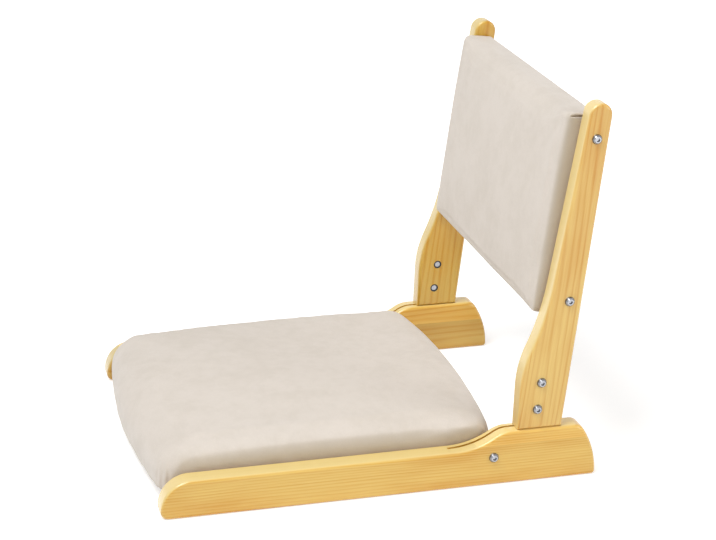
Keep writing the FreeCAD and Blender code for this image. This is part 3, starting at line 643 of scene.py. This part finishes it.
def row_tree():
    """Geometry nodes that repeat the piece's own mesh along a rectangle in its XY plane."""
    tree = bpy.data.node_groups.new("Row round a rectangle", "GeometryNodeTree")
    for label, kind in (("Geometry", "Geometry"), ("Width", "Float"), ("Height", "Float"),
                        ("Count", "Int"), ("Tilt", "Float"), ("Seed", "Int"),
                        ("Material", "Material")):
        tree.interface.new_socket(label, in_out="INPUT", socket_type="NodeSocket" + kind)
    tree.interface.new_socket("Geometry", in_out="OUTPUT", socket_type="NodeSocketGeometry")
    n = Nodes(tree, tree.nodes.new("NodeGroupOutput").inputs)
    given = n.add("NodeGroupInput").outputs
    rectangle = n.add("GeometryNodeCurvePrimitiveQuadrilateral",
                      {"Width": given["Width"], "Height": given["Height"]})
    places = n.add("GeometryNodeResampleCurve",
                   {"Curve": rectangle.outputs[0], "Count": given["Count"]})
    turn = n.add("FunctionNodeAlignRotationToVector",
                 {"Vector": n.add("GeometryNodeInputTangent").outputs[0]}, axis="X")
    lowest = n.maths("MULTIPLY", given["Tilt"], -1.0)
    chance = n.add("FunctionNodeRandomValue",
                   {2: lowest, 3: given["Tilt"], "Seed": given["Seed"]}, data_type="FLOAT")
    skew = n.add("CombineXYZ", {"Z": chance.outputs[1]})
    turned = n.add("FunctionNodeRotateRotation", {0: turn.outputs[0], 1: skew.outputs[0]},
                   rotation_space="LOCAL")
    repeat = n.add("GeometryNodeInstanceOnPoints",
                   {"Points": places.outputs[0], "Instance": given["Geometry"],
                    "Rotation": turned.outputs[0]})
    real = n.add("GeometryNodeRealizeInstances", {0: repeat.outputs[0]})
    finish = n.add("GeometryNodeSetMaterial",
                   {"Geometry": real.outputs[0], "Material": given["Material"]})
    n.give("Geometry", finish.outputs[0])
    return tree


def repeated(piece, **values):
    """Repeats the piece's mesh round a rectangle with the row tree, as one plain mesh."""
    tree = bpy.data.node_groups.get("Row round a rectangle") or row_tree()
    row = adjusted(piece.modifiers.new("Row", "NODES"), node_group=tree)
    values["Seed"] = ROW_SEED
    for item in tree.interface.items_tree:
        if item.in_out == "INPUT" and item.name in values:
            row[item.identifier] = values[item.name]
    baked(piece)


def bent_wire(name, points, radius, sides):
    """A round wire through points in the XZ plane, its ends closed."""
    form = bmesh.new()
    rings = []
    for i, (x, z) in enumerate(points):
        before, after = points[max(0, i - 1)], points[min(len(points) - 1, i + 1)]
        lean = math.atan2(after[1] - before[1], after[0] - before[0])
        around = arc_points((0, 0), radius, 0, 2 * math.pi, sides)[:sides]
        rings.append([form.verts.new((x - out * math.sin(lean), side, z + out * math.cos(lean)))
                      for out, side in around])
    closed_tube(form, rings)
    for face in form.faces:
        face.smooth = len(face.verts) == 4
    return built(form, name)


def soft_step(value, low, high):
    share = min(1.0, max(0.0, (value - low) / (high - low)))
    return share * share * (3 - 2 * share)


def ripple(point, across, along, stretch):
    """Smooth noise, so many ripples to the metre in x, y and z."""
    return noise.noise(Vector((point.x * across, point.y * along, point.z * stretch)))


def refined(piece, inside):
    """Halves the edges of the faces whose middle satisfies inside(point)."""
    form = bmesh.new()
    form.from_mesh(piece.data)
    faces = [f for f in form.faces if inside(f.calc_center_median())]
    edges = {e for f in faces for e in f.edges}
    bmesh.ops.subdivide_edges(form, edges=list(edges), cuts=1, use_grid_fill=True)
    form.to_mesh(piece.data)
    form.free()


def on_board(point):
    """From the back pad's own frame (across, up the board, forward) to the chair's."""
    sine, cosine = math.sin(BOARD_LEAN), math.cos(BOARD_LEAN)
    return BOARD_ORIGIN + Vector((point[0], point[1] * sine - point[2] * cosine,
                                  point[1] * cosine + point[2] * sine))


# ---- the pieces ----

def hanging(y):
    """How far the seat's nose hangs down in front of the front stretcher."""
    before = STRETCHER_FRONT_Y - y
    return sizes().nose_droop * soft_step(before, 0.004, 0.030)


def seat_shape():
    """The seat pad's form, in sections from one rail to the other."""
    s = sizes()
    under_edge, nose_power, rear_power, fullness = 0.002, 1.66, 2.2, 0.55
    half, base = s.seat_half_width, s.seat_bottom
    low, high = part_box("seat_cover")
    sections = []
    for x in spaced(half, s.seat_shoulder):
        edge = half - abs(x)
        shoulder = drawn_in(edge, s.seat_shoulder)
        under = base + drawn_in(edge, under_edge)
        top = s.seat_top - s.seat_arch * (x / half) ** 2 - shoulder
        fit = (top - under) / (s.seat_top - base)
        front = low.y + s.seat_set_in + plan_setback(x, half, s.nose_bow, nose_power,
                                                     s.nose_corner)
        rear = high.y - plan_setback(x, half, s.rear_bow, rear_power, s.rear_corner)
        outline = pad_section(front, rear, under, top, s.seat_crown * fit,
                              (s.nose_upper * fit, s.nose_lower * fit),
                              (s.rear_upper * fit, s.rear_lower * fit), s.rear_crown)
        # the rear corners are fuller than the shoulder would leave them
        fuller = fullness * shoulder
        sections.append([(x, y, z - hanging(y) * (top - z) / (top - under)
                          + fuller * soft_step(y, rear - 0.070, rear - 0.015)
                          * (z - under) / (top - under)) for y, z in outline])
    return lofted("seat_cushion", sections)


def back_shape():
    """The back pad's form lying on its board, in sections from its foot to its top."""
    s = sizes()
    rear_radius, more_arch, draw_reach = 0.0025, 0.0015, 0.006
    low, high = -s.back_low, s.back_high
    half_length = (high - low) / 2
    base = -s.back_rear
    sections = []
    for place in spaced(half_length, s.back_end):
        up = (low + high) / 2 + place
        to_end = half_length - abs(place)
        share = (up - low) / (high - low)
        front = s.back_front_low + (s.back_front_high - s.back_front_low) * share
        bulge = 1 - (2 * share - 1) ** 2
        arch, crown = (s.back_crown + more_arch) * bulge, s.back_crown * bulge
        half = s.back_half_width - s.back_corner_draw * drawn_in(to_end, draw_reach) / draw_reach
        side = s.back_foot + (s.back_side - s.back_foot) * soft_step(up, low, low + 0.06)
        radii = (side, rear_radius)
        section = []
        for x, z in pad_section(-half, half, base, front + arch, crown, radii, radii):
            # the cover's folded corners are tight, and its top and foot roll over in between
            tight = soft_step(abs(x), half - 0.055, half - 0.004)
            end = s.back_end if place > 0 else s.back_foot
            drop = drawn_in(to_end, end + (s.back_corner - end) * tight)
            section.append((x, up, z - drop * (z - base) / (front + arch - base)))
        sections.append(section)
    return lofted("back_cushion", sections)


class FLOORCHAIR_OT_wood(bpy.types.Operator):
    """Finishes rails, posts, stretchers and boards"""
    bl_idname = "floorchair.wood"
    bl_label = "Wood"

    def execute(self, context):
        wood_figure_group()
        along = Vector((0, 1, 0))
        up_post = Vector((0, math.sin(POST_LEAN), math.cos(POST_LEAN)))
        # body and grain, pith, ring width, waviness, glue line, shades below and above, depth
        # the right boards, on the far side, are darker and fuller as painted shade; the step at a
        # glue line is the boards' own tone
        boards = {
            "left_rail": ("base", along, (0.235, 0, -0.045), 0.0028, 0.010,
                          0.044, 0.90, 1.0, 1.10),
            "right_rail": ("base", along, (-0.150, 0, 0.075), 0.0062, 0.020,
                           0.036, 0.70, 0.93, 1.13),
            "left_post": ("back", up_post, (0.224, 0, -0.02), 0.0060, 0.034,
                          None, 0.93, 1.0, 1.05),
            "right_post": ("back", up_post, (-0.150, 0, -0.10), 0.0058, 0.022,
                           None, 0.785, 1.0, 1.15)}
        for node, (body, *pine) in boards.items():
            finish = pine_material("Pine, " + node.replace("_", " "), *pine)
            eased_copy(node, "pine_" + node, finish, body)
        across = pine_material("Pine, stretchers", along, (0.0, 0, -0.05), 0.004, 0.008,
                               None, 0.96)
        dress(across, "front_stretcher", "rear_stretcher")
        dress(plywood_material(), "seat_board", "back_board")
        return {"FINISHED"}


class FLOORCHAIR_OT_metal(bpy.types.Operator):
    """Finishes bolts, screws, nuts and hinge plates"""
    bl_idname = "floorchair.metal"
    bl_label = "Metal"

    def execute(self, context):
        # finish: tone, ends of the roughness, scale of the marks, painted shade on the heads'
        # sides, and what has it
        steels = {
            "Bright screw steel": (1.0, 0.16, 0.30, 220.0, 0.50,
                                   "pivot_bolts", "post_bolts", "pad_screws"),
            "Zinc-plated steel": (0.8, 0.28, 0.45, 160.0, 1.0, "seat_screws", "pivot_sleeve_nuts"),
            "Hinge plate steel": (0.65, 0.35, 0.5, 90.0, 1.0,
                                  "left_hinge_plate", "right_hinge_plate"),
            # the insert nuts' dark colour is painted shade of the recesses they sit in, not a
            # finish of theirs
            "Insert steel with painted recess shade": (0.12, 0.35, 0.55, 160.0, 1.0, "post_insert_nuts")}
        for name, (tone, low, high, scale, painted_rim_shade, *nodes) in steels.items():
            dress(steel_material(name, tone, low, high, scale, painted_rim_shade), *nodes)
        return {"FINISHED"}


class FLOORCHAIR_OT_seat_cushion(bpy.types.Operator):
    """Makes the seat cushion and fills it"""
    bl_idname = "floorchair.seat_cushion"
    bl_label = "Seat cushion"

    def execute(self, context):
        s = sizes()
        pucker_depth, drift_depth, gather_depth = 0.0008, 0.0007, 0.0007
        floor, limit = s.seat_bottom, s.seat_half_width + 0.0006
        low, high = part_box("seat_cover")
        front, rear = low.y + s.seat_set_in, high.y

        def offset(point):
            side = (soft_step(abs(point.x), 0.145, 0.168)
                    * soft_step(point.z, floor + 0.018, floor + 0.030))
            pucker = side * pucker_depth * ripple(point, 12, 95, 12)
            drift = (drift_depth * ripple(point, 13, 11, 9)
                     * soft_step(point.z, floor + 0.01, floor + 0.03))
            return pucker + drift + gathers(point)

        def gathers(point):
            """Small folds where the cover is drawn round the front and rear corners."""
            reach_x = abs(point.x) - s.seat_half_width + s.nose_corner
            reach_y = max(front - point.y, point.y - rear) + s.nose_corner
            if reach_x <= 0 or reach_y <= 0:
                return 0.0
            turn = math.atan2(reach_y, reach_x)
            ends_off = math.sin(2 * turn) * soft_step(math.hypot(reach_x, reach_y), 0.008, 0.024)
            low_down = 1 - soft_step(point.z, floor + 0.014, floor + 0.044)
            return gather_depth * ends_off * low_down * math.sin(16 * turn + 30 * point.z)

        def clamp(point):
            return Vector((max(-limit, min(limit, point.x)), point.y,
                           max(floor - hanging(point.y), point.z)))

        cushion, held = seat_shape(), (floor + 0.006, floor + 0.016)
        upholstered(cushion, s.voxel, held, 2, offset, clamp)
        shaded_smooth(cushion)
        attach(cushion, "base")
        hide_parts("seat_cover", "seat_foam")
        return {"FINISHED"}


class FLOORCHAIR_OT_back_cushion(bpy.types.Operator):
    """Makes the back cushion and fills it"""
    bl_idname = "floorchair.back_cushion"
    bl_label = "Back cushion"

    def execute(self, context):
        s = sizes()
        drift_depth, limit = 0.0005, s.back_half_width + 0.0002

        def offset(point):
            return soft_step(point.z, 0.0, 0.015) * drift_depth * ripple(point, 12, 14, 9)

        def clamp(point):
            return Vector((max(-limit, min(limit, point.x)),
                           max(-s.back_low, min(s.back_high, point.y)),
                           max(-s.back_rear, point.z)))

        cushion = back_shape()
        upholstered(cushion, s.back_voxel, (0.0, 0.012), 1, offset, clamp)
        self.fold_corners(cushion, s)
        for vertex in cushion.data.vertices:
            vertex.co = on_board(vertex.co)
        cushion.data.update()
        shaded_smooth(cushion)
        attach(cushion, "back")
        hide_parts("back_cover", "back_foam")
        return {"FINISHED"}

    def fold_corners(self, cushion, s):
        """Cuts the slits where the cover is folded over at the pad's top corners."""
        half, rear_end = s.back_half_width, -0.007
        slit_width, lip_width, lip_height, lip_below = 0.0009, 0.0012, 0.0003, 0.0024

        def near_fold(point):
            return (abs(s.back_high - point.y - s.fold_below_top) < 0.0045
                    and abs(point.x) > half - 0.009 and rear_end < point.z < 0.031)

        for _ in range(2):
            refined(cushion, near_fold)
        for vertex in cushion.data.vertices:
            x, y, z = vertex.co
            side = soft_step(abs(x), half - 0.008, half - 0.004)
            if not side:
                continue
            run = soft_step(z, rear_end, rear_end + 0.005) * (1 - soft_step(z, 0.0170, 0.0225))
            # the slit dips slightly towards the front
            below = s.back_high - y - s.fold_below_top - 0.0009 * (z - 0.012) / 0.012
            slit = math.exp(-(below / slit_width) ** 2)
            lip = math.exp(-((below - lip_below) / lip_width) ** 2)
            vertex.co.x -= math.copysign(side * run * (s.fold_depth * slit - lip_height * lip), x)


class FLOORCHAIR_OT_rear_panel(bpy.types.Operator):
    """Makes the covered panel behind the back cushion"""
    bl_idname = "floorchair.rear_panel"
    bl_label = "Rear panel"

    def execute(self, context):
        s = sizes()
        margin, thick, rounding, pillow = 0.012, 0.003, 0.0014, 0.0009
        # the inner face lies just within the cushion, the outer one is set in for the stitches
        inner = s.back_rear - 0.0003
        outer = s.back_rear + thick - 0.0006
        half = s.back_half_width - margin
        low, high = (-half, -s.back_low + margin), (half, s.back_high - margin)
        counts = across, up = 96, 56
        form = bmesh.new()
        under = grid(form, low, high, counts, lambda x, y, edge: on_board((x, y, -inner)))
        over = grid(form, low, high, counts, lambda x, y, edge: on_board(
            (x, y, -(outer - drawn_in(edge, rounding) + pillow * soft_step(edge, 0.0, 0.03)))))
        border = [(0, i) for i in range(across)] + [(j, across) for j in range(up)]
        border += [(up, i) for i in range(across, 0, -1)] + [(j, 0) for j in range(up, 0, -1)]
        for (a, b), (c, d) in zip(border, border[1:] + border[:1]):
            form.faces.new((under[a][b], under[c][d], over[c][d], over[a][b]))
        bmesh.ops.recalc_face_normals(form, faces=form.faces)
        panel = built(form, "rear_panel")
        shaded_smooth(panel)
        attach(panel, "back")
        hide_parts("back_rear_panel")
        return {"FINISHED"}


class FLOORCHAIR_OT_dust_cover(bpy.types.Operator):
    """Makes the cloth stapled under the seat"""
    bl_idname = "floorchair.dust_cover"
    bl_label = "Dust cover"

    def execute(self, context):
        low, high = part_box("seat_dust_cover")
        slack, crease, thickness = 0.0012, 0.0003, 0.0005

        def hung(x, y, edge):
            wrinkle = crease * noise.noise(Vector((x * 40, y * 40, 0.3)))
            return (x, y, low.z - slack * soft_step(edge, 0.0, 0.05)
                    + wrinkle * soft_step(edge, 0, 0.02))

        form = bmesh.new()
        grid(form, low, high, (90, 54), hung)
        cloth = built(form, "dust_cover")
        adjusted(cloth.modifiers.new("Thickness", "SOLIDIFY"), thickness=thickness, offset=1.0)
        baked(cloth)
        shaded_smooth(cloth, dust_cloth_material())
        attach(cloth, "base")
        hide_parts("seat_dust_cover")
        return {"FINISHED"}


class FLOORCHAIR_OT_staples(bpy.types.Operator):
    """Makes the staples round the dust cover"""
    bl_idname = "floorchair.staples"
    bl_label = "Staples"

    def execute(self, context):
        low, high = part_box("seat_dust_cover")
        crown, leg, wire, bend, inset = 0.0048, 0.0016, 0.00036, 0.0004, 0.006
        points = [(-crown, leg), (-crown, bend), (-crown + bend, 0.0), (0.0, 0.0),
                  (crown - bend, 0.0), (crown, bend), (crown, leg)]
        staples = bent_wire("staples", points, wire, 8)
        repeated(staples, Width=high.x - low.x - 2 * inset, Height=high.y - low.y - 2 * inset,
                 Count=38, Tilt=0.10, Material=bpy.data.materials["Zinc-plated steel"])
        middle = Vector(((low.x + high.x) / 2, (low.y + high.y) / 2, low.z - bend))
        staples.data.transform(Matrix.Translation(middle))
        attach(staples, "base")
        return {"FINISHED"}


class FLOORCHAIR_OT_stitches(bpy.types.Operator):
    """Makes the hand stitches round the rear panel"""
    bl_idname = "floorchair.stitches"
    bl_label = "Stitches"

    def execute(self, context):
        s = sizes()
        reach, thread, inset, standing = 0.0017, 0.00032, 0.0150, 0.0027
        points = [(reach * share, z) for share, z in (
            (-1.0, 0.0006), (-0.9, 0.0002), (-0.5, -0.00005), (0.0, -0.0001),
            (0.5, -0.00005), (0.9, 0.0002), (1.0, 0.0006))]
        stitches = bent_wire("panel_stitches", points, thread, 6)
        repeated(stitches, Width=2 * (s.back_half_width - inset),
                 Height=s.back_low + s.back_high - 2 * inset, Count=176, Tilt=0.03,
                 Material=bpy.data.materials["Cover fabric"])
        middle = (s.back_high - s.back_low) / 2
        for vertex in stitches.data.vertices:
            x, y, z = vertex.co
            vertex.co = on_board((x, middle + y, z - s.back_rear - standing))
        stitches.data.update()
        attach(stitches, "back")
        return {"FINISHED"}


def aimed(name, place, target, size, power):
    """A round lamp that shines from place on target."""
    lamp = adjusted(bpy.data.lights.new(name, "AREA"), shape="DISK", size=size, energy=power)
    turn = (Vector(target) - Vector(place)).to_track_quat("-Z", "Y").to_euler()
    adjusted(new_object(name, lamp), location=place, rotation_euler=turn)


def seen_by_camera(nodes):
    """1 where the camera sees the surface, directly, mirrored or through glass."""
    path = nodes.add("LightPath").outputs
    seen = nodes.maths("MAXIMUM", path["Is Camera Ray"], path["Is Glossy Ray"])
    return nodes.maths("MAXIMUM", seen, path["Is Transmission Ray"])


class FLOORCHAIR_OT_stage(bpy.types.Operator):
    """Makes floor, studio light and camera"""
    bl_idname = "floorchair.stage"
    bl_label = "Studio"

    def execute(self, context):
        settings = studio()
        scene = context.scene
        scene.view_settings.view_transform = "Standard"
        self.floor(settings)
        self.world(scene, settings)
        aimed("Key lamp", (0.72, -1.15, 2.90), (0, 0, 0.1), 1.8, settings.key_power)
        aimed("Fill lamp", (1.8, 2.2, 1.0), (0, 0, 0.15), 1.2, settings.fill_power)
        self.camera(scene, settings)
        return {"FINISHED"}

    def floor(self, settings):
        half, grey, glow_near, glow_far, glow_beyond = 9.0, 0.92, 0.35, 1.3, 0.8
        form = bmesh.new()
        grid(form, (-half, -half), (half, half), (1, 1), lambda x, y, edge: (x, y, 0))
        floor = built(form, "studio_floor")
        n = Finish("White floor", Base_Color=(grey, grey, grey, 1), Roughness=0.9,
                   Specular_IOR_Level=0.1)
        away = n.vectors("LENGTH", n.place)
        spread = n.between(away, glow_near, glow_far, settings.floor_glow, glow_beyond)
        strength = n.maths("MULTIPLY", seen_by_camera(n), spread)
        glow = n.add("Emission", {"Color": (1, 1, 1, 1), "Strength": strength})
        both = n.add("AddShader", {0: n.shader.outputs[0], 1: glow.outputs[0]})
        n.feed(n.tree.nodes["Material Output"].inputs["Surface"], both.outputs[0])
        floor.data.materials.append(n.material)

    def world(self, scene, settings):
        world = bpy.data.worlds.new("Studio")
        scene.world = world
        world.use_nodes = True
        n = Nodes(world.node_tree, world.node_tree.nodes["Background"].inputs)
        n.give("Color", (1, 1, 1, 1))
        extra = n.maths("MULTIPLY", seen_by_camera(n), 1.0 - settings.ambient)
        n.give("Strength", n.maths("ADD", extra, settings.ambient))

    def camera(self, scene, settings):
        lens = adjusted(bpy.data.cameras.new("Camera"), lens=settings.lens, sensor_width=36.0,
                        sensor_fit="HORIZONTAL")
        camera = new_object("Camera", lens)
        turn = Euler((math.pi / 2 - CAMERA_HEIGHT, 0, CAMERA_AZIMUTH)).to_matrix().to_4x4()
        camera.matrix_world = Matrix.Translation(CAMERA_PLACE) @ turn
        scene.camera = camera


class FLOORCHAIR_PT_panel(bpy.types.Panel):
    """Lists the chair's pieces and sizes"""
    bl_idname = "FLOORCHAIR_PT_panel"
    bl_label = "Floor chair"
    bl_space_type = "VIEW_3D"
    bl_region_type = "UI"
    bl_category = "Floor chair"

    def draw(self, context):
        for step in STEPS:
            self.layout.operator(step.bl_idname)
        for settings in (sizes(), colours(), studio()):
            column = self.layout.column(align=True)
            for name in settings.__annotations__:
                column.prop(settings, name, text=name.replace("_", " ").capitalize())


STEPS = (FLOORCHAIR_OT_wood, FLOORCHAIR_OT_metal, FLOORCHAIR_OT_seat_cushion,
         FLOORCHAIR_OT_back_cushion, FLOORCHAIR_OT_rear_panel, FLOORCHAIR_OT_stitches,
         FLOORCHAIR_OT_dust_cover, FLOORCHAIR_OT_staples, FLOORCHAIR_OT_stage)
SETTINGS = {"floor_chair_sizes": CushionSizes, "floor_chair_colours": FinishColours,
            "floor_chair_studio": StudioSettings}
CLASSES = (*SETTINGS.values(), *STEPS, FLOORCHAIR_PT_panel)


def register():
    for cls in CLASSES:
        bpy.utils.register_class(cls)
    for name, group in SETTINGS.items():
        setattr(bpy.types.Scene, name, PointerProperty(type=group))


def unregister():
    for name in SETTINGS:
        delattr(bpy.types.Scene, name)
    for cls in reversed(CLASSES):
        bpy.utils.unregister_class(cls)


def main():
    register()
    handling_group()
    leather_group()
    cover_material()
    bpy.ops.floorchair.wood()
    bpy.ops.floorchair.metal()
    bpy.ops.floorchair.seat_cushion()
    bpy.ops.floorchair.back_cushion()
    bpy.ops.floorchair.rear_panel()
    bpy.ops.floorchair.stitches()
    bpy.ops.floorchair.dust_cover()
    bpy.ops.floorchair.staples()
    bpy.ops.floorchair.stage()


if __name__ == "__main__":
    main()
